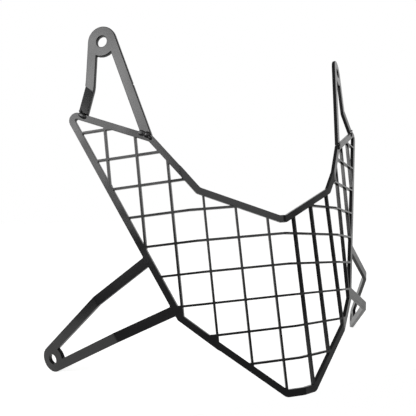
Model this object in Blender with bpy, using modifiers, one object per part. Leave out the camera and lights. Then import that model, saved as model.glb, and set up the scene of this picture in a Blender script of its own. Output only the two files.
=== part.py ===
# Headlight guard for an adventure motorcycle: a laser-cut steel grille, folded to a shallow V with
# two wings, with two long lower brackets in the same sheet and two upper brackets welded on.
#
# The sheet is drawn flat in the XZ plane (X across, Z up, front face towards -Y), cut, and then
# folded backwards line by line, as a press brake would do it. Only the right half is drawn, and
# the left half is its mirror image. Points of the flat sheet are pairs: across from the centre
# fold, and up from the middle row of the grid. All sizes are in metres.

import bpy
import bmesh
from math import acos, asin, atan2, cos, hypot, pi, radians, sin, tan
from mathutils import Matrix, Vector

# Sheet and grid
SHEET = 0.003                  # thickness of the steel sheet
PITCH = 0.024                  # from one bar of the grid to the next
BAR = 0.0015                   # width of a bar
MIDDLE_GAP = 0.01245           # from the centre fold to the first upright bar
FOLD_GAP = 0.0247              # between the two upright bars beside a wing fold
CELL_CORNER = 0.0006           # size of the corner that the laser leaves in a window
SMALLEST_WINDOW = 14e-6        # a cut-off window of less area than this stays filled

# Corners of the flat half, before they are rounded
TIP = (0.0135, -0.1237)
LOW = (0.0891, -0.0579)
TOP = (0.1678, 0.1192)
SHOULDER = (0.0953, 0.0855)
NOTCH_END = (0.0622, 0.0405)
NOTCH_MIDDLE = (0.0, 0.0130)

TIP_ROUND = 0.006
LOW_ROUND = 0.002
TOP_ROUND = 0.0062
SHOULDER_ROUND = 0.003
NOTCH_ROUND = 0.004
NOTCH_FLAT = 0.0025            # half the short level stretch at the bottom of the notch

# Solid border left around the grid
BORDER = 0.0049
TIP_BORDER = 0.0054

# Folds
WING_FOLD = 0.0692             # from the centre fold to a wing fold, at the middle row
WING_FOLD_LEAN = radians(6.3)  # outwards at the top
CENTRE_ANGLE = radians(35.8)   # between the two middle panels
WING_ANGLE = radians(18.2)
FOLD_RADIUS = 0.003            # on the inside of a fold
FOLD_STEPS = 4                 # facets in a fold

# Lower brackets
LEG = 0.0078                   # width of a bracket leg
LEG_ROUND = 0.001              # in the corners where a leg leaves the plate
HOLE = 0.009                   # fixing hole
HOLE_FACETS = 28
EYELET_FACETS = 18             # along the outside of an eyelet, between its legs
LOW_EYE = 0.0220               # outer diameter of the eyelet
LOW_EYE_LIP = 0.0011           # how much further the eyelet reaches into the bracket's window
LOW_EYE_REACH = 0.0792         # from the bracket's fold to the hole, on the flat sheet
LOW_FOLD_AWAY = 0.0489         # from the side of the plate to the bracket's fold
LOW_FOLD_FOOT = -0.0322        # height on the plate's side that the middle of the fold is square to
LOW_FOLD_ANGLE = radians(25.3)
UPPER_ROOT = -0.0079           # height where the upper leg's upper edge leaves the plate
LOWER_ROOT = -0.0546           # height where the lower leg's lower edge leaves the plate

# Upper brackets
UP_EYE = 0.0243                # outer diameter of the eyelet
UP_EYE_PLACE = (0.1300, 0.1684)
INNER_FOOT = 0.0955            # centre-side edge of the inner leg, where it meets the plate
KNEE = (0.1476, 0.1349)        # outer edge of the outer leg, where it bends
OUTER_FOOT = 0.1533            # outer edge of the outer leg, where it meets the plate
UP_TURN = radians(4.9)         # the bracket is turned back from the wing by this much
KNEE_RADIUS = 0.003

# Welds
SEAT = 0.0003                  # clearance between two pieces that touch
BEAD_WIDTH = 0.0042
BEAD_HEIGHT = 0.0013
BEAD_EXTRA = 0.0012            # how far a bead runs past its leg
BEAD_RIPPLES = 5
BEAD_DIP = 0.2                 # how much thinner a bead is between two ripples

OVERHANG = 0.010               # how far the half is drawn past the centre fold, before mirroring
THROUGH = 0.004                # how far a cutter stands out of the sheet on each side
COLOUR = (0.012, 0.012, 0.013, 1.0)
ROUGHNESS = 0.42


# Plane geometry

def direction(p, q):
    length = hypot(q[0] - p[0], q[1] - p[1])
    return ((q[0] - p[0]) / length, (q[1] - p[1]) / length)


def left_of(d):
    return (-d[1], d[0])


def angle_of(d):
    return atan2(d[1], d[0])


def shifted(p, d, distance):
    return (p[0] + distance * d[0], p[1] + distance * d[1])


def meet(p, d, q, e):
    """Point where the line through p along d crosses the line through q along e."""
    cross = d[0] * e[1] - d[1] * e[0]
    t = ((q[0] - p[0]) * e[1] - (q[1] - p[1]) * e[0]) / cross
    return shifted(p, d, t)


def tangent(p, centre, radius, side):
    """Direction from p that touches the circle and leaves it on the right (1) or left (-1)."""
    ahead = angle_of(direction(p, centre))
    away = asin(radius / hypot(centre[0] - p[0], centre[1] - p[1]))
    return (cos(ahead + side * away), sin(ahead + side * away))


def arc(centre, radius, start, end, steps):
    turns = [start + (end - start) * i / steps for i in range(steps + 1)]
    return [(centre[0] + radius * cos(turn), centre[1] + radius * sin(turn)) for turn in turns]


def rounded(before, p, after, radius, steps=4):
    """Points of a round corner at p, on the way from one corner to the next."""
    a = direction(p, before)
    b = direction(p, after)
    half = acos(a[0] * b[0] + a[1] * b[1]) / 2
    centre = shifted(p, direction((0, 0), (a[0] + b[0], a[1] + b[1])), radius / sin(half))
    start = shifted(p, a, radius / tan(half))
    first = angle_of(direction(centre, start))
    turn = pi - 2 * half
    if a[0] * b[1] - a[1] * b[0] > 0:
        turn = -turn
    return arc(centre, radius, first, first + turn, steps)


def inset(corners, widths):
    """Corners moved inwards, where widths[i] is the border along the edge that ends at corner i."""
    lines = []
    for i, corner in enumerate(corners):
        along = direction(corners[i - 1], corner)
        lines.append((shifted(corner, left_of(along), widths[i]), along))
    return [meet(*lines[i], *lines[(i + 1) % len(lines)]) for i in range(len(lines))]


# Blender helpers

def new_collection(name, hidden=False):
    made = bpy.data.collections.new(name)
    bpy.context.scene.collection.children.link(made)
    made.hide_render = hidden
    return made


def evaluated_mesh(solid):
    bpy.context.view_layer.update()
    return bpy.data.meshes.new_from_object(solid.evaluated_get(bpy.context.evaluated_depsgraph_get()))


def tidy(solid):
    """Weld loose caps and turn the faces outwards."""
    bm = bmesh.new()
    bm.from_mesh(solid.data)
    bmesh.ops.remove_doubles(bm, verts=bm.verts, dist=1e-6)
    bmesh.ops.recalc_face_normals(bm, faces=bm.faces)
    bm.to_mesh(solid.data)
    bm.free()


def slab(name, points, thickness, target):
    """A flat outline in the XZ plane, filled and thickened, as a closed mesh."""
    curve = bpy.data.curves.new(name, "CURVE")
    curve.dimensions = "2D"
    curve.fill_mode = "BOTH"
    curve.extrude = thickness / 2
    spline = curve.splines.new("POLY")
    spline.points.add(len(points) - 1)
    for point, (x, z) in zip(spline.points, points):
        point.co = (x, z, 0, 1)
    spline.use_cyclic_u = True
    outline = bpy.data.objects.new(name, curve)
    target.objects.link(outline)
    outline.matrix_world = Matrix.Rotation(pi / 2, 4, "X")
    mesh = evaluated_mesh(outline)
    mesh.transform(outline.matrix_world)
    bpy.data.objects.remove(outline)
    solid = bpy.data.objects.new(name, mesh)
    target.objects.link(solid)
    tidy(solid)
    return solid


def cut(solid, cutter, operation="DIFFERENCE"):
    """Cut a solid with another, which is used up, and keep the result as its mesh."""
    cutter.hide_render = True
    cutter.display_type = "WIRE"
    modifier = solid.modifiers.new(cutter.name, "BOOLEAN")
    modifier.object = cutter
    modifier.operation = operation
    modifier.solver = "EXACT"
    mesh = evaluated_mesh(solid)
    solid.modifiers.clear()
    solid.data = mesh
    bpy.data.objects.remove(cutter)
    tidy(solid)


def drill(solid, centre, diameter, target):
    """Cut a round hole square through the sheet."""
    mesh = bpy.data.meshes.new("drill")
    bm = bmesh.new()
    place = Matrix.Translation((centre[0], 0, centre[1])) @ Matrix.Rotation(pi / 2, 4, "X")
    bmesh.ops.create_cone(bm, cap_ends=True, segments=HOLE_FACETS,
                          radius1=diameter / 2, radius2=diameter / 2,
                          depth=SHEET + 2 * THROUGH, matrix=place)
    bm.to_mesh(mesh)
    bm.free()
    cutter = bpy.data.objects.new("drill", mesh)
    target.objects.link(cutter)
    cut(solid, cutter)


def fold(solid, start, along, away, angle, radius, applies=lambda place: True):
    """Fold back what lies beyond a line of the sheet, or fold it forwards by a negative angle.

    The fold begins at the line through start in the direction along, and what moves lies on the
    side that away points to. The middle of the sheet's thickness keeps its length.
    """
    neutral = radius + SHEET / 2
    length = neutral * abs(angle)
    sense = 1 if angle > 0 else -1
    origin = Vector((start[0], 0, start[1]))
    axis = Vector((along[0], 0, along[1]))
    out = Vector((away[0], 0, away[1]))
    bm = bmesh.new()
    bm.from_mesh(solid.data)
    bmesh.ops.triangulate(bm, faces=bm.faces)
    for step in range(FOLD_STEPS + 1):
        faces = [face for face in bm.faces if all(applies(vert.co) for vert in face.verts)]
        edges = {edge for face in faces for edge in face.edges}
        verts = {vert for face in faces for vert in face.verts}
        bmesh.ops.bisect_plane(bm, geom=faces + list(edges) + list(verts), dist=1e-7,
                               plane_co=origin + out * (length * step / FOLD_STEPS), plane_no=out)
    for vert in bm.verts:
        offset = vert.co - origin
        reach = offset.dot(out)
        if reach <= 0 or not applies(vert.co):
            continue
        depth = neutral - sense * offset.y
        turned = min(reach, length) / neutral
        beyond = max(reach - length, 0)
        moved = sin(turned) * depth + cos(turned) * beyond
        back = sense * (neutral - cos(turned) * depth + sin(turned) * beyond)
        vert.co = origin + axis * offset.dot(axis) + out * moved + Vector((0, back, 0))
    bm.to_mesh(solid.data)
    bm.free()


def open_at_centre(solid):
    """Cut off what lies left of the centre plane and leave the half open there."""
    bm = bmesh.new()
    bm.from_mesh(solid.data)
    geom = list(bm.verts) + list(bm.edges) + list(bm.faces)
    bmesh.ops.bisect_plane(bm, geom=geom, dist=1e-6, plane_co=(0, 0, 0), plane_no=(-1, 0, 0),
                           clear_outer=True)
    bm.to_mesh(solid.data)
    bm.free()


def mirrored(solid, name, target):
    mesh = solid.data.copy()
    mesh.transform(Matrix.Scale(-1, 4, (1, 0, 0)))
    mesh.flip_normals()
    twin = bpy.data.objects.new(name, mesh)
    target.objects.link(twin)
    return twin


def paint(solid):
    """Give a piece its own black powder coat."""
    coat = bpy.data.materials.new(solid.name + "_powder_coat")
    coat.use_nodes = True
    shader = coat.node_tree.nodes["Principled BSDF"]
    shader.inputs["Base Color"].default_value = COLOUR
    shader.inputs["Roughness"].default_value = ROUGHNESS
    shader.inputs["Metallic"].default_value = 0.0
    solid.data.materials.clear()
    solid.data.materials.append(coat)


# Lines that several pieces share

CENTRE_LOW = (0.0, TIP[1])
SIDE = direction(LOW, TOP)              # up the side of the wing
OUTWARD = (SIDE[1], -SIDE[0])           # square to the side, away from the plate
TOP_EDGE = direction(SHOULDER, TOP)     # outwards along the top of the wing


def side_at(height):
    """Point of the side of the wing at a height."""
    return meet((0, height), (1, 0), LOW, SIDE)


def top_at(across, gap=0.0):
    """Point of the top edge of the wing, or of a line that runs a gap above it."""
    return meet((across, 0), (0, 1), shifted(SHOULDER, left_of(TOP_EDGE), gap), TOP_EDGE)


def eyelet_arcs(eye, radius, left_leg, right_leg, lip=0.0):
    """Outer arc round an eyelet and inner arc between its legs, which run towards it.

    The left leg's outer edge has the eyelet on its right, and the right leg's on its left. The
    inner arc is larger than the outer one by the lip.
    """
    left = angle_of(left_leg)
    right = angle_of(right_leg)
    inner_radius = radius + lip
    across = asin((radius - LEG) / inner_radius)
    outer = arc(eye, radius, right - pi / 2, left + pi / 2, EYELET_FACETS)
    inner = arc(eye, inner_radius, right - pi + across, left - pi - across, 5)
    return outer, inner


def low_bracket():
    """Outer outline and window of the lower bracket, its eyelet's centre and its fold's middle."""
    fold_middle = shifted(side_at(LOW_FOLD_FOOT), OUTWARD, LOW_FOLD_AWAY)
    eye = shifted(fold_middle, OUTWARD, LOW_EYE_REACH)
    radius = LOW_EYE / 2
    upper_root = side_at(UPPER_ROOT)
    lower_root = side_at(LOWER_ROOT)
    upper = tangent(upper_root, eye, radius, 1)
    lower = tangent(lower_root, eye, radius, -1)
    outer_arc, inner_arc = eyelet_arcs(eye, radius, upper, lower, LOW_EYE_LIP)
    outline = rounded(LOW, lower_root, outer_arc[0], LEG_ROUND, 2) + outer_arc
    outline += rounded(outer_arc[-1], upper_root, TOP, LEG_ROUND, 2)
    lower_corner = meet(shifted(lower_root, left_of(lower), LEG), lower, LOW, SIDE)
    upper_corner = meet(shifted(upper_root, left_of(upper), -LEG), upper, LOW, SIDE)
    window = rounded(upper_corner, lower_corner, inner_arc[0], LEG_ROUND, 2) + inner_arc
    window += rounded(inner_arc[-1], upper_corner, lower_corner, LEG_ROUND, 2)
    return outline, window, eye, fold_middle


def plate_outline():
    """The right half of the flat sheet and its lower bracket, anticlockwise from below."""
    notch = direction(NOTCH_MIDDLE, NOTCH_END)
    notch_floor = shifted(NOTCH_MIDDLE, notch, NOTCH_FLAT / notch[0])
    points = [(-OVERHANG, TIP[1])]
    points += rounded(CENTRE_LOW, TIP, LOW, TIP_ROUND)
    points += rounded(TIP, LOW, TOP, LOW_ROUND, 2)
    points += low_bracket()[0]
    points += rounded(LOW, TOP, SHOULDER, TOP_ROUND, 8)
    points += [SHOULDER]
    points += rounded(SHOULDER, NOTCH_END, NOTCH_MIDDLE, NOTCH_ROUND, 3)
    points += [notch_floor, (-OVERHANG, notch_floor[1])]
    return points


def grid_outline():
    """The space inside the border, which the grid fills."""
    notch = direction(NOTCH_MIDDLE, NOTCH_END)
    far_low = (-2 * OVERHANG, TIP[1])
    far_high = shifted(NOTCH_MIDDLE, notch, -2 * OVERHANG)
    corners = [far_low, TIP, LOW, TOP, SHOULDER, NOTCH_END, far_high]
    widths = [0.0, TIP_BORDER] + [BORDER] * 5
    low_end, tip, low, top, shoulder, notch_end, high_end = inset(corners, widths)
    points = [low_end]
    points += rounded(low_end, tip, low, TIP_ROUND / 2, 3)
    points += [low]
    points += rounded(low, top, shoulder, TOP_ROUND - BORDER, 4)
    points += rounded(top, shoulder, notch_end, SHOULDER_ROUND, 3)
    points += rounded(shoulder, notch_end, high_end, NOTCH_ROUND, 3)
    floor_height = meet((NOTCH_FLAT, 0), (0, 1), notch_end, notch)[1]
    points += [(NOTCH_FLAT, floor_height), (-2 * OVERHANG, floor_height)]
    return points


def grid_windows(target):
    """Cutters for the windows of the grid: a block for each cell, trimmed to the border."""
    uprights = [MIDDLE_GAP, MIDDLE_GAP + PITCH, MIDDLE_GAP + 2 * PITCH]
    uprights += [uprights[2] + FOLD_GAP + PITCH * i for i in range(3)]
    columns = [-MIDDLE_GAP] + uprights + [uprights[-1] + 2 * PITCH]
    rows = [PITCH * i for i in range(-6, 7)]
    mesh = bpy.data.meshes.new("windows")
    bm = bmesh.new()
    depth = SHEET + 2 * THROUGH
    for left, right in zip(columns, columns[1:]):
        for low, high in zip(rows, rows[1:]):
            size = Matrix.Diagonal((right - left - BAR, depth, high - low - BAR, 1))
            place = Matrix.Translation(((left + right) / 2, 0, (low + high) / 2))
            bmesh.ops.create_cube(bm, size=1, matrix=place @ size)
    bm.to_mesh(mesh)
    bm.free()
    windows = bpy.data.objects.new("windows", mesh)
    target.objects.link(windows)
    cut(windows, slab("grid_space", grid_outline(), SHEET + 1.5 * THROUGH, target), "INTERSECT")
    drop_slivers(windows)
    return windows


def drop_slivers(windows):
    """Remove the windows that are too small to be cut, and take the corners off the others."""
    bm = bmesh.new()
    bm.from_mesh(windows.data)
    waiting = set(bm.verts)
    slivers = []
    while waiting:
        island = {waiting.pop()}
        edge_of_island = list(island)
        while edge_of_island:
            vert = edge_of_island.pop()
            for edge in vert.link_edges:
                other = edge.other_vert(vert)
                if other in waiting:
                    waiting.remove(other)
                    island.add(other)
                    edge_of_island.append(other)
        faces = {face for vert in island for face in vert.link_faces}
        front = sum(face.calc_area() for face in faces if face.normal.y < -0.9)
        if front < SMALLEST_WINDOW:
            slivers += list(island)
    bmesh.ops.delete(bm, geom=slivers, context="VERTS")
    bmesh.ops.dissolve_limit(bm, angle_limit=radians(0.5), verts=bm.verts, edges=bm.edges)
    corners = []
    for edge in bm.edges:
        along = edge.verts[1].co - edge.verts[0].co
        if abs(along.normalized().y) > 0.99 and edge.calc_face_angle(0) > radians(20):
            corners.append(edge)
    bmesh.ops.bevel(bm, geom=corners, offset=CELL_CORNER, offset_type="OFFSET", segments=2,
                    profile=0.5, affect="EDGES", clamp_overlap=True)
    bm.to_mesh(windows.data)
    bm.free()


def fold_wing(solid):
    """The wing fold and half of the centre fold, which every piece of the right half follows."""
    along = (sin(WING_FOLD_LEAN), cos(WING_FOLD_LEAN))
    away = (along[1], -along[0])
    lead = (FOLD_RADIUS + SHEET / 2) * WING_ANGLE / 2
    fold(solid, shifted((WING_FOLD, 0), away, -lead), along, away, WING_ANGLE, FOLD_RADIUS)
    fold(solid, (0, 0), (0, 1), (1, 0), CENTRE_ANGLE / 2, FOLD_RADIUS)


# Pieces

def mesh_plate(parts, cutters):
    """The folded grille with its lower brackets."""
    outline, window, eye, fold_middle = low_bracket()
    plate = slab("mesh_plate", plate_outline(), SHEET, parts)
    cut(plate, grid_windows(cutters))
    cut(plate, slab("bracket_window", window, SHEET + 2 * THROUGH, cutters))
    drill(plate, eye, HOLE, cutters)
    lead = (FOLD_RADIUS + SHEET / 2) * LOW_FOLD_ANGLE / 2
    fold(plate, shifted(fold_middle, OUTWARD, -lead), SIDE, OUTWARD, LOW_FOLD_ANGLE, FOLD_RADIUS)
    fold_wing(plate)
    open_at_centre(plate)
    mirror = plate.modifiers.new("other half", "MIRROR")
    mirror.use_axis = (True, False, False)
    mirror.merge_threshold = 0.00001
    paint(plate)


def knee():
    """The crease across the outer leg, and what its bend does to the shin below it.

    The bracket is turned back about the upright line through its inner foot. The crease points
    from there to the knee, so the bent shin comes back to the top edge of the wing all along its
    foot. Gives the crease's start and direction, the angle of the bend, the angle at which the
    shin stands to the wing, and the direction of the foot on the flat bracket.
    """
    start = top_at(INNER_FOOT)
    crease = direction(start, KNEE)
    turn = Matrix.Rotation(UP_TURN, 3, "Z")
    turned_crease = turn @ Vector((crease[0], 0, crease[1]))
    top_edge = Vector((TOP_EDGE[0], 0, TOP_EDGE[1]))
    front = Vector((0, -1, 0))
    shin_front = top_edge.cross(turned_crease)
    foot_turn = angle_of(crease) - top_edge.angle(turned_crease)
    foot_line = (cos(foot_turn), sin(foot_turn))
    return start, crease, shin_front.angle(turn @ front), shin_front.angle(front), foot_line


def upper_bracket_outline():
    """The flat hairpin, anticlockwise from the centre-side corner of its inner foot.

    Also gives the two seams on the top edge of the wing, where the feet stand.
    """
    radius = UP_EYE / 2
    start, crease, bend, shin_lean, foot_line = knee()
    inner_foot = top_at(INNER_FOOT, SEAT)
    inner = tangent(inner_foot, UP_EYE_PLACE, radius, 1)
    outer = tangent(KNEE, UP_EYE_PLACE, radius, -1)
    outer_arc, inner_arc = eyelet_arcs(UP_EYE_PLACE, radius, inner, outer)
    inner_toe = meet(shifted(inner_foot, left_of(inner), -LEG), inner, inner_foot, TOP_EDGE)

    # the outer foot keeps its clearance at the lower edge of the leaning shin
    seam_end = top_at(OUTER_FOOT)
    flat_end = shifted(start, foot_line, hypot(seam_end[0] - start[0], seam_end[1] - start[1]))
    shin = direction(flat_end, KNEE)
    sole = shifted(flat_end, left_of(foot_line), SEAT + SHEET / 2 * sin(shin_lean))
    shin_back = shifted(flat_end, left_of(shin), LEG)
    outer_foot = meet(flat_end, shin, sole, foot_line)
    outer_toe = meet(shin_back, shin, sole, foot_line)
    knee_back = meet(shin_back, shin, shifted(KNEE, left_of(outer), LEG), outer)
    seam_start = shifted(start, TOP_EDGE, hypot(outer_toe[0] - start[0], outer_toe[1] - start[1]))
    inner_arc.reverse()
    points = [inner_foot, inner_toe] + inner_arc + [knee_back, outer_toe, outer_foot, KNEE] + outer_arc
    return points, (inner_foot, inner_toe), (seam_start, seam_end)


def upper_bracket(parts, cutters):
    """The right-hand hairpin bracket, seated on the top edge of the wing."""
    bracket = slab("upper_bracket_right", upper_bracket_outline()[0], SHEET, parts)
    drill(bracket, UP_EYE_PLACE, HOLE, cutters)
    start, crease, bend = knee()[:3]
    down = (crease[1], -crease[0])
    lead = (KNEE_RADIUS + SHEET / 2) * bend / 2
    between = (KNEE[0] + INNER_FOOT) / 2
    fold(bracket, shifted(KNEE, down, -lead), crease, down, -bend, KNEE_RADIUS,
         lambda place: place.x > between)
    axis = Vector((INNER_FOOT, 0, 0))
    turn = Matrix.Rotation(UP_TURN, 4, "Z")
    bracket.data.transform(Matrix.Translation(axis) @ turn @ Matrix.Translation(-axis))
    fold_wing(bracket)
    tidy(bracket)
    paint(bracket)
    left = mirrored(bracket, "upper_bracket_left", parts)
    paint(left)


def weld_bead(name, seam, parts):
    """A rippled weld bead on the front of the sheet, along the seam between two points."""
    start, end = seam
    along = direction(start, end)
    half = hypot(end[0] - start[0], end[1] - start[1]) / 2 + BEAD_EXTRA
    bm = bmesh.new()
    bmesh.ops.create_uvsphere(bm, u_segments=12, v_segments=2 * BEAD_RIPPLES + 2, radius=1)
    for vert in bm.verts:
        ripple = 1 - BEAD_DIP / 2 * (1 - cos(vert.co.z * pi * BEAD_RIPPLES))
        vert.co = Vector((vert.co.z * half, vert.co.y * BEAD_HEIGHT * ripple,
                          vert.co.x * BEAD_WIDTH / 2 * ripple))
    geom = list(bm.verts) + list(bm.edges) + list(bm.faces)
    halved = bmesh.ops.bisect_plane(bm, geom=geom, dist=1e-7, plane_co=(0, 0, 0),
                                    plane_no=(0, 1, 0), clear_outer=True)
    rim = [part for part in halved["geom_cut"] if isinstance(part, bmesh.types.BMEdge)]
    bmesh.ops.holes_fill(bm, edges=rim)
    bmesh.ops.recalc_face_normals(bm, faces=bm.faces)
    middle = ((start[0] + end[0]) / 2, (start[1] + end[1]) / 2)
    place = Matrix.Translation((middle[0], -SHEET / 2 - SEAT, middle[1]))
    bmesh.ops.transform(bm, matrix=place @ Matrix.Rotation(-angle_of(along), 4, "Y"), verts=bm.verts)
    mesh = bpy.data.meshes.new(name)
    bm.to_mesh(mesh)
    bm.free()
    bead = bpy.data.objects.new(name, mesh)
    parts.objects.link(bead)
    fold_wing(bead)
    paint(bead)
    return bead


def weld_beads(parts):
    """The beads that hold the feet of the upper brackets, two on each side."""
    inner_seam, outer_seam = upper_bracket_outline()[1:]
    for place, seam in (("inner", inner_seam), ("outer", outer_seam)):
        right = weld_bead("weld_bead_right_" + place, seam, parts)
        paint(mirrored(right, "weld_bead_left_" + place, parts))


def centre_on_box(parts):
    """Put the origin in the middle of the whole guard's box, on its plane of symmetry."""
    places = [vert.co for solid in parts.objects for vert in solid.data.vertices]
    middle = [(min(place[i] for place in places) + max(place[i] for place in places)) / 2
              for i in range(3)]
    for solid in parts.objects:
        solid.data.transform(Matrix.Translation((0, -middle[1], -middle[2])))


def build():
    for old in list(bpy.data.objects):
        bpy.data.objects.remove(old)
    parts = new_collection("motorcycle_headlight_guard")
    cutters = new_collection("cutters", hidden=True)
    mesh_plate(parts, cutters)
    upper_bracket(parts, cutters)
    weld_beads(parts)
    centre_on_box(parts)


build()
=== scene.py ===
# Motorcycle headlight guard in black powder-coated steel, seen from in front and a little to the left.
from math import atan, cos, degrees, pi, radians, sin
import bpy
import numpy
from mathutils import Matrix, Vector


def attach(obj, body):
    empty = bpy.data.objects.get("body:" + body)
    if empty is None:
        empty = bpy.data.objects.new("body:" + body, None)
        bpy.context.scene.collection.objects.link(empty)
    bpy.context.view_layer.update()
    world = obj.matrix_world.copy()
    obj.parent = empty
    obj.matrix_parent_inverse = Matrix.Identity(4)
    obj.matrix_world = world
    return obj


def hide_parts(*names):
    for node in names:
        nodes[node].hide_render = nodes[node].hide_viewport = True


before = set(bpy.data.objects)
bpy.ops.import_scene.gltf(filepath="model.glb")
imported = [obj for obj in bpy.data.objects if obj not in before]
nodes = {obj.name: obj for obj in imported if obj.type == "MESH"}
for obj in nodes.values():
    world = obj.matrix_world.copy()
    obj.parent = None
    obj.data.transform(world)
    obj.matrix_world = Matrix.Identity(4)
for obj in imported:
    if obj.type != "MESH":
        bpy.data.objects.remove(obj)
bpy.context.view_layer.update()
mm = 0.001                  # m
print("frame loaded:", len(nodes), "pieces")


# small helpers

solid = {
    "merge": 0.01,          # mm, corners nearer than this become one
    "flat": 0.4,            # degrees, faces that turn less than this become one
}


def selectOnly(piece):
    bpy.ops.object.select_all(action="DESELECT")
    piece.select_set(True)
    bpy.context.view_layer.objects.active = piece


def applyModifier(piece, kind, settings):
    modifier = piece.modifiers.new(kind.lower(), kind)
    for name, value in settings.items():
        setattr(modifier, name, value)
    selectOnly(piece)
    bpy.ops.object.modifier_apply(modifier=modifier.name)


def shapeOf(nodeName, pieceName):
    # a merged copy of the plain solid, with one face for each flat
    piece = bpy.data.objects.new(pieceName, nodes[nodeName].data.copy())
    bpy.context.scene.collection.objects.link(piece)
    selectOnly(piece)
    bpy.ops.mesh.customdata_custom_splitnormals_clear()
    bpy.ops.object.mode_set(mode="EDIT")
    bpy.ops.mesh.select_all(action="SELECT")
    bpy.ops.mesh.remove_doubles(threshold=solid["merge"] * mm)
    bpy.ops.mesh.dissolve_limited(angle_limit=radians(solid["flat"]))
    bpy.ops.object.mode_set(mode="OBJECT")
    return piece


def finishPiece(piece, nodeName, coat):
    piece.data.materials.clear()
    piece.data.materials.append(coat)
    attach(piece, "root")
    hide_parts(nodeName)
    print(piece.name, "done,", len(piece.data.polygons), "faces")


# materials

def toLinear(hexColour):
    channels = [int(hexColour[i:i + 2], 16) / 255 for i in (1, 3, 5)]
    return [c / 12.92 if c <= 0.04045 else ((c + 0.055) / 1.055) ** 2.4 for c in channels] + [1.0]


def addNode(tree, kind, settings=None, links=None):
    # a setting or a link is named, or numbered where a node has sockets of the same name
    node = tree.nodes.new(kind)
    for name, value in (settings or {}).items():
        if isinstance(name, int) or name in node.inputs:
            node.inputs[name].default_value = value
        else:
            setattr(node, name, value)
    for name, socket in (links or {}).items():
        tree.links.new(socket, node.inputs[name])
    return node


colourA, colourB, colourMix = 6, 7, 2       # the colour sockets of a Mix node


# polyester powder, sprayed dry and baked: near black, semi matt, with a faint orange peel and
# slow changes of shade and gloss where the coat went on thicker
powder = {
    "dark": "#131314",
    "light": "#1d1d1f",
    # mm from one patch to the next, and how many finer layers lie in it
    "clouds": (22, 3.0),    # the changes of shade and gloss
    "waves": (17, 0.0),     # the slow unevenness that bends the reflections
    "peel": (1.6, 1.0),     # drawn about twice as coarse as real so that it shows
    "grain": (0.5, 0.0),    # the fine tooth of the powder
    "waveDepth": 0.45,      # mm, deeper than real, so that it shows from a step away
    "peelDepth": 0.009,     # mm
    "weldPeelDepth": 0.0135,
    "grainShare": 0.2,      # of the height of the peel
    "ior": 1.5,
    "smooth": 0.20,         # roughness from here
    "rough": 0.27,          # to here
}


def powderCoat(name, peelDepth):
    coat = bpy.data.materials.new(name)
    coat.use_nodes = True
    tree = coat.node_tree
    shader = tree.nodes["Principled BSDF"]
    shader.inputs["Metallic"].default_value = 0.0
    shader.inputs["IOR"].default_value = powder["ior"]
    place = addNode(tree, "ShaderNodeTexCoord").outputs["Object"]
    heights = {}
    for pattern in ("clouds", "waves", "peel", "grain"):
        size, layers = powder[pattern]
        noise = addNode(tree, "ShaderNodeTexNoise", {"Scale": 1 / (size * mm), "Detail": layers},
                        {"Vector": place})
        heights[pattern] = noise.outputs["Fac"]
    shade = addNode(tree, "ShaderNodeMix", {"data_type": "RGBA", colourA: toLinear(powder["dark"]),
                                            colourB: toLinear(powder["light"])},
                    {"Factor": heights["clouds"]})
    tree.links.new(shade.outputs[colourMix], shader.inputs["Base Color"])
    gloss = addNode(tree, "ShaderNodeMapRange", {"To Min": powder["smooth"], "To Max": powder["rough"]},
                    {"Value": heights["clouds"]})
    tree.links.new(gloss.outputs["Result"], shader.inputs["Roughness"])
    skin = addNode(tree, "ShaderNodeMath", {"operation": "MULTIPLY_ADD", 1: powder["grainShare"]},
                   {0: heights["grain"], 2: heights["peel"]})
    uneven = addNode(tree, "ShaderNodeBump", {"Distance": powder["waveDepth"] * mm, "Strength": 1.0},
                     {"Height": heights["waves"]})
    bump = addNode(tree, "ShaderNodeBump", {"Distance": peelDepth * mm, "Strength": 1.0},
                   {"Height": skin.outputs["Value"], "Normal": uneven.outputs["Normal"]})
    tree.links.new(bump.outputs["Normal"], shader.inputs["Normal"])
    return coat


sheetCoat = powderCoat("black_powder_coated_steel", powder["peelDepth"])
weldCoat = powderCoat("black_powder_coated_weld", powder["weldPeelDepth"])
print("materials made")


# the folded grille and the two upper brackets: laser-cut edges, rounded by the coat

sheet = {
    "coatDepth": 0.12,      # mm of powder on the bare steel
    "sameFlat": 0.999,      # cosine of the turn up to which faces count as one flat
    "weakCorner": 0.1,      # tangent of half the turn up to which two flats move their corner as one
    "plateEdge": 0.25,      # mm, how far the coat rounds an edge of the grille
    "bracketEdge": 0.65,    # mm, and one of the upper brackets
    "edgeFaces": 2,         # across each rounding
    "sharpest": 28,         # degrees, edges turning less than this are folds and stay as they are
    "smooth": 50,           # degrees, edges turning less than this are shaded smooth
    "flatWeight": 50,       # how far the flats rule the shading of their edges
}
nick = {
    "node": "upper_bracket_left",
    "place": (-98.0, -31.4, 101.0),         # mm, on the cut edge of the inner leg
    "size": 1.8,                            # mm across
    "depth": 8,                             # mm, right through the sheet
    "sides": 24,
}


def cutNick(piece):
    # the small round nick in the cut edge, such as a laser leaves where it begins
    flat = max(piece.data.polygons, key=lambda face: face.area)
    bpy.ops.object.select_all(action="DESELECT")
    bpy.ops.mesh.primitive_cylinder_add(vertices=nick["sides"], radius=nick["size"] / 2 * mm,
                                        depth=nick["depth"] * mm,
                                        location=[length * mm for length in nick["place"]],
                                        rotation=flat.normal.to_track_quat("Z", "Y").to_euler())
    cutter = bpy.context.object
    before = len(piece.data.polygons)
    applyModifier(piece, "BOOLEAN", {"operation": "DIFFERENCE", "object": cutter})
    bpy.data.objects.remove(cutter)
    print("nick cut,", len(piece.data.polygons) - before, "more faces")


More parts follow.
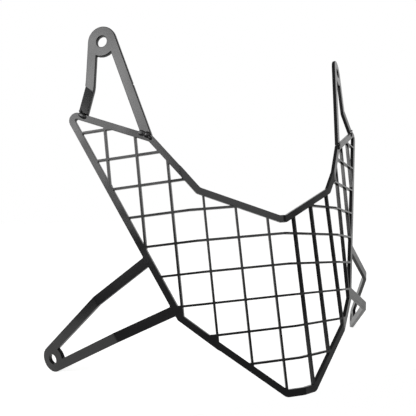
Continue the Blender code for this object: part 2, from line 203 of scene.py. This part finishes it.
def growCoat(piece):
    # moves every flat outwards by the depth of the coat, and each corner to where its flats then meet
    flats = {vert.index: [] for vert in piece.data.vertices}
    for face in piece.data.polygons:
        for index in face.vertices:
            if all(face.normal.dot(normal) < sheet["sameFlat"] for normal in flats[index]):
                flats[index].append(face.normal.copy())
    for vert in piece.data.vertices:
        normals = numpy.array(flats[vert.index])
        shift = numpy.linalg.pinv(normals, rcond=sheet["weakCorner"]) @ numpy.ones(len(normals))
        vert.co += Vector(shift) * sheet["coatDepth"] * mm


def coatedSheet(nodeName, pieceName, edgeRound):
    piece = shapeOf(nodeName, pieceName)
    growCoat(piece)
    applyModifier(piece, "BEVEL", {"width": edgeRound * mm, "segments": sheet["edgeFaces"],
                                   "limit_method": "ANGLE", "angle_limit": radians(sheet["sharpest"]),
                                   "use_clamp_overlap": False, "miter_outer": "MITER_SHARP"})
    if nodeName == nick["node"]:
        cutNick(piece)
    selectOnly(piece)
    bpy.ops.object.shade_smooth_by_angle(angle=radians(sheet["smooth"]))
    applyModifier(piece, "WEIGHTED_NORMAL", {"weight": sheet["flatWeight"], "keep_sharp": True})
    finishPiece(piece, nodeName, sheetCoat)


coatedSheet("mesh_plate", "grille_plate", sheet["plateEdge"])
coatedSheet("upper_bracket_left", "bracket_upper_left", sheet["bracketEdge"])
coatedSheet("upper_bracket_right", "bracket_upper_right", sheet["bracketEdge"])


# the welds: puddles laid one over the next, and melted into one bead on the front of each foot

weld = {
    # share of the way from the outer end, mm above the seam, mm long, wide and high, degrees turned
    "inner": [(0.26, -0.8, 6.0, 4.6, 0.48, 4),
              (0.64, -0.9, 5.2, 5.2, 1.10, -35),
              (0.88, -2.7, 3.8, 2.8, 1.15, -40)],
    "outer": [(0.52, -1.5, 7.6, 4.2, 0.85, -17),
              (0.26, 1.8, 2.8, 2.2, 0.50, -5)],
    "sides": 24,            # of a puddle
    "rings": 14,
    "voxel": 0.2,           # mm, of the remesh that melts them together
    "smoothing": 0.5,       # how strongly the steps of the remesh are then evened out
    "rounds": 3,            # and how often
}


def layPuddle(middle, along, up, front, puddle):
    # one half of it stands out of the sheet, and the other is sunk in it
    long, wide, high, turn = puddle
    longWay = along * cos(radians(turn)) + up * sin(radians(turn))
    turned = Matrix((longWay, front.cross(longWay), front)).transposed().to_euler()
    bpy.ops.mesh.primitive_uv_sphere_add(segments=weld["sides"], ring_count=weld["rings"], radius=1,
                                         location=middle, rotation=turned,
                                         scale=(long / 2 * mm, wide / 2 * mm, high * mm))
    return bpy.context.object


def weldBead(seam, puddles):
    nodeName = "weld_bead_" + seam
    points = [vert.co.copy() for vert in nodes[nodeName].data.vertices]
    start = max(points, key=lambda point: abs(point.x))
    end = min(points, key=lambda point: abs(point.x))
    seat = max(nodes[nodeName].data.polygons, key=lambda face: face.area)
    front = -seat.normal
    along = (end - start).normalized()
    up = front.cross(along)
    if up.z < 0:
        up = -up
    laid = []
    for share, rise, *puddle in puddles:
        laid.append(layPuddle(start.lerp(end, share) + up * rise * mm, along, up, front, puddle))
    for drop in laid:
        drop.select_set(True)
    bpy.ops.object.join()
    bead = bpy.context.object
    bead.name = "weld_" + seam
    bpy.ops.object.transform_apply(location=True, rotation=True, scale=True)
    applyModifier(bead, "REMESH", {"mode": "VOXEL", "voxel_size": weld["voxel"] * mm})
    applyModifier(bead, "SMOOTH", {"factor": weld["smoothing"], "iterations": weld["rounds"]})
    bpy.ops.object.shade_smooth()
    finishPiece(bead, nodeName, weldCoat)


for side in ("left", "right"):
    for foot in ("inner", "outer"):
        weldBead(side + "_" + foot, weld[foot])


# floor, background and light: a sheet of white paper under and behind the guard, a white
# backdrop, a dim room on the camera's side, a key softbox at the left and a weaker one in front

studio = {
    "floorGap": 0.0004,     # m, under the tip and the two lower eyelets, which the guard stands on
    "floorFront": 0.10,     # m, the paper starts this far in front of the guard's middle
    "floorLeft": 0.29,      # m, and this far to the left of it
    "paperSize": 2.4,       # m
    "floorColour": "#eeeeec",
    "floorGlow": 0.79,      # only where the floor is seen, so that it meets the backdrop unseen
    "floorMirrored": 0.50,  # the share of that glow that the coat's reflections get
    "roomLevel": 0.13,      # brightness of the room, where white paper is 1
    "backdropLevel": 0.95,
    "backdropTurn": 150,    # degrees, from straight in front of the guard round to the right
    "backdropEdge": (0.10, 0.45),       # where the backdrop begins, by its cosine to that
    "backdropTop": (0.40, 0.75),        # and where it ends, by the sine of its height
}
lamps = {
    # degrees to the right and up, degrees across and high, brightness
    "key_softbox": (-69, 22.5, 34, 27, 4.0),
    "key_middle": (-70, 21, 11, 10, 3.3),       # the hot middle of the key
    "front_softbox": (-10, 17, 70, 26, 1.35),
}
lampDistance = 4.0          # m


def directionTo(turn, height=0.0):
    turn, height = radians(turn), radians(height)
    return Vector((sin(turn) * cos(height), -cos(turn) * cos(height), sin(height)))


def whereSeen(tree, settings=None, links=None):
    # 1 where the camera looks at it, also through glass, and input 1 where the coat mirrors it
    rays = addNode(tree, "ShaderNodeLightPath").outputs
    looked = addNode(tree, "ShaderNodeMath", {"operation": "MAXIMUM"},
                     {0: rays["Is Camera Ray"], 1: rays["Is Transmission Ray"]})
    seen = addNode(tree, "ShaderNodeMath", {"operation": "MULTIPLY_ADD", **(settings or {})},
                   {0: rays["Is Glossy Ray"], 2: looked.outputs["Value"], **(links or {})})
    return seen.outputs["Value"]


def lightRoom():
    world = bpy.data.worlds.new("white_backdrop")
    bpy.context.scene.world = world
    world.use_nodes = True
    tree = world.node_tree
    tree.nodes.clear()
    direction = addNode(tree, "ShaderNodeTexCoord").outputs["Generated"]
    towards = addNode(tree, "ShaderNodeVectorMath",
                      {"operation": "DOT_PRODUCT", 1: directionTo(studio["backdropTurn"])}, {0: direction})
    parts = addNode(tree, "ShaderNodeSeparateXYZ", {}, {"Vector": direction})
    sideStart, sideEnd = studio["backdropEdge"]
    topStart, topEnd = studio["backdropTop"]
    inside = addNode(tree, "ShaderNodeMapRange",
                     {"interpolation_type": "SMOOTHSTEP", "From Min": sideStart, "From Max": sideEnd},
                     {"Value": towards.outputs["Value"]})
    below = addNode(tree, "ShaderNodeMapRange",
                    {"interpolation_type": "SMOOTHSTEP", "From Min": topStart, "From Max": topEnd,
                     "To Min": 1.0, "To Max": 0.0}, {"Value": parts.outputs["Z"]})
    backdrop = addNode(tree, "ShaderNodeMath", {"operation": "MULTIPLY"},
                       {0: inside.outputs["Result"], 1: below.outputs["Result"]}).outputs["Value"]
    level = addNode(tree, "ShaderNodeMapRange",
                    {"To Min": studio["roomLevel"], "To Max": studio["backdropLevel"]}, {"Value": backdrop})
    room = addNode(tree, "ShaderNodeBackground", {"Color": (1, 1, 1, 1)},
                   {"Strength": level.outputs["Result"]})
    white = addNode(tree, "ShaderNodeBackground", {"Color": (1, 1, 1, 1), "Strength": 1.0})
    mixed = addNode(tree, "ShaderNodeMixShader", {}, {"Fac": whereSeen(tree, links={1: backdrop}),
                                                      1: room.outputs[0], 2: white.outputs[0]})
    addNode(tree, "ShaderNodeOutputWorld", {}, {"Surface": mixed.outputs[0]})


def whitePaper():
    paint = bpy.data.materials.new("white_paper")
    paint.use_nodes = True
    tree = paint.node_tree
    tree.nodes.clear()
    matt = addNode(tree, "ShaderNodeBsdfDiffuse", {"Color": toLinear(studio["floorColour"])})
    glow = addNode(tree, "ShaderNodeEmission", {"Color": (1, 1, 1, 1), "Strength": studio["floorGlow"]})
    lifted = addNode(tree, "ShaderNodeAddShader", {}, {0: matt.outputs[0], 1: glow.outputs[0]})
    mixed = addNode(tree, "ShaderNodeMixShader", {}, {"Fac": whereSeen(tree, {1: studio["floorMirrored"]}),
                                                      1: matt.outputs[0], 2: lifted.outputs[0]})
    addNode(tree, "ShaderNodeOutputMaterial", {}, {"Surface": mixed.outputs[0]})
    return paint


def layFloor():
    # the paper slopes as the line from the tip to the two lower eyelets does, so that it meets all three
    points = [vert.co for vert in nodes["mesh_plate"].data.vertices]
    tip = min((point for point in points if point.y < 0), key=lambda point: point.z)
    eyelet = min((point for point in points if point.y > 0), key=lambda point: point.z)
    slope = (eyelet.z - tip.z) / (eyelet.y - tip.y)
    across = studio["paperSize"] / 2 - studio["floorLeft"]
    back = studio["paperSize"] / 2 - studio["floorFront"]
    level = tip.z - studio["floorGap"] + slope * (back - tip.y)
    bpy.ops.mesh.primitive_plane_add(size=studio["paperSize"], location=(across, back, level),
                                     rotation=(atan(slope), 0, 0))
    floor = bpy.context.object
    floor.name = "floor"
    floor.data.materials.append(whitePaper())
    print("floor slopes", round(degrees(atan(slope)), 2), "degrees")


def softbox(name, turn, height, across, high, level):
    data = bpy.data.lights.new(name, "AREA")
    data.shape = "RECTANGLE"
    data.size = lampDistance * radians(across)
    data.size_y = lampDistance * radians(high)
    data.energy = level * pi * data.size * data.size_y      # the cloth is then as bright as level
    lamp = bpy.data.objects.new(name, data)
    bpy.context.scene.collection.objects.link(lamp)
    lamp.location = directionTo(turn, height) * lampDistance
    lamp.rotation_euler = directionTo(turn, height).to_track_quat("Z", "Y").to_euler()
    lamp.visible_camera = False


lightRoom()
layFloor()
for name, place in lamps.items():
    softbox(name, *place)
print("room, floor and lamps made")


# the camera stands where the photograph was taken from

view = {
    "place": (-0.21232, -0.41453, -0.08044),    # m
    "turn": (96.2231, 6.2820, -27.3543),        # degrees
    "sensor": 36,                               # mm
    "lens": 45.0265,                            # mm
    "shift": (-0.10720, 0.09428),               # of the picture's width, right and up
    "nearest": 0.01,                            # m, nothing nearer than this is drawn
}


def setCamera():
    camera = bpy.data.objects.new("camera", bpy.data.cameras.new("camera"))
    bpy.context.scene.collection.objects.link(camera)
    camera.location = view["place"]
    camera.rotation_euler = [radians(angle) for angle in view["turn"]]
    camera.data.sensor_width = view["sensor"]
    camera.data.lens = view["lens"]
    camera.data.shift_x, camera.data.shift_y = view["shift"]
    camera.data.clip_start = view["nearest"]
    bpy.context.scene.camera = camera
    bpy.context.scene.view_settings.view_transform = "Standard"
    print("camera set")


setCamera()
